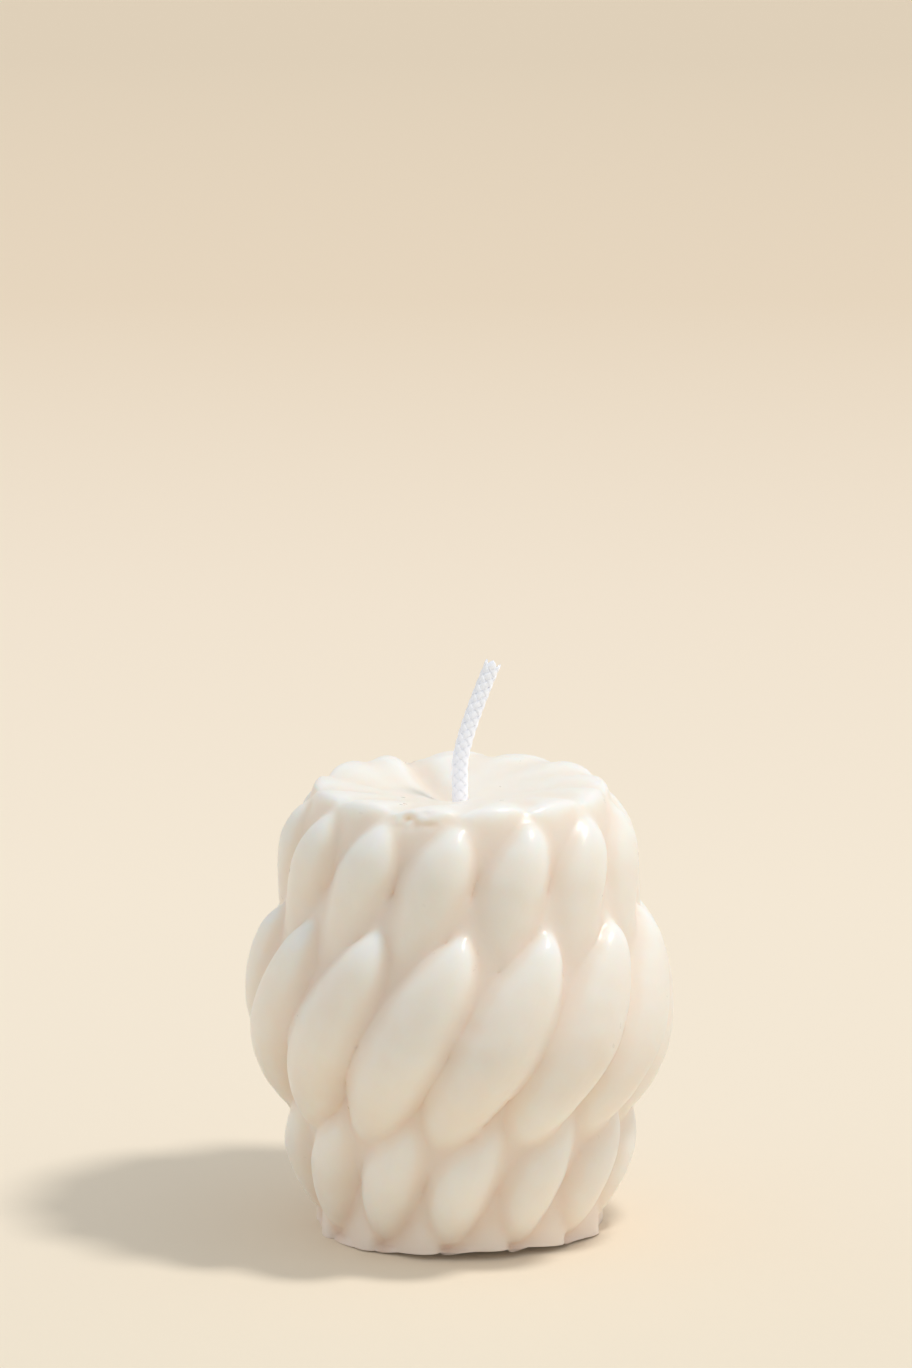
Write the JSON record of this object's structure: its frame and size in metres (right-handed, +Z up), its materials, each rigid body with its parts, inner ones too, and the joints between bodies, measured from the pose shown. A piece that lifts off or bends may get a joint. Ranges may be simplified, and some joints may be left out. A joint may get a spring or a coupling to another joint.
{
  "type": "twisted candle",
  "caption": "Free-standing pillar candle cast as a bulging basket of twisted leaf-shaped strands that wind over the top into a hollow round a leaning cotton wick.",
  "frame": {"origin": "centre of the flat base, on the candle's axis", "axes": "+Z up along the candle's axis, -Y towards the pictured side, +X the way the wick leans"},
  "size_m": [0.0745, 0.0741, 0.0996],
  "materials": {
    "wax": "cast wax, off-white, satin and slightly translucent",
    "wick_cotton": "waxed cotton braid, cool white",
    "sustainer_tin": "plain pressed tinplate"
  },
  "bodies": {
    "root": {"wax_body": "wax", "wick": "wick_cotton", "wick_sustainer": "sustainer_tin"}
  },
  "joints": []
}
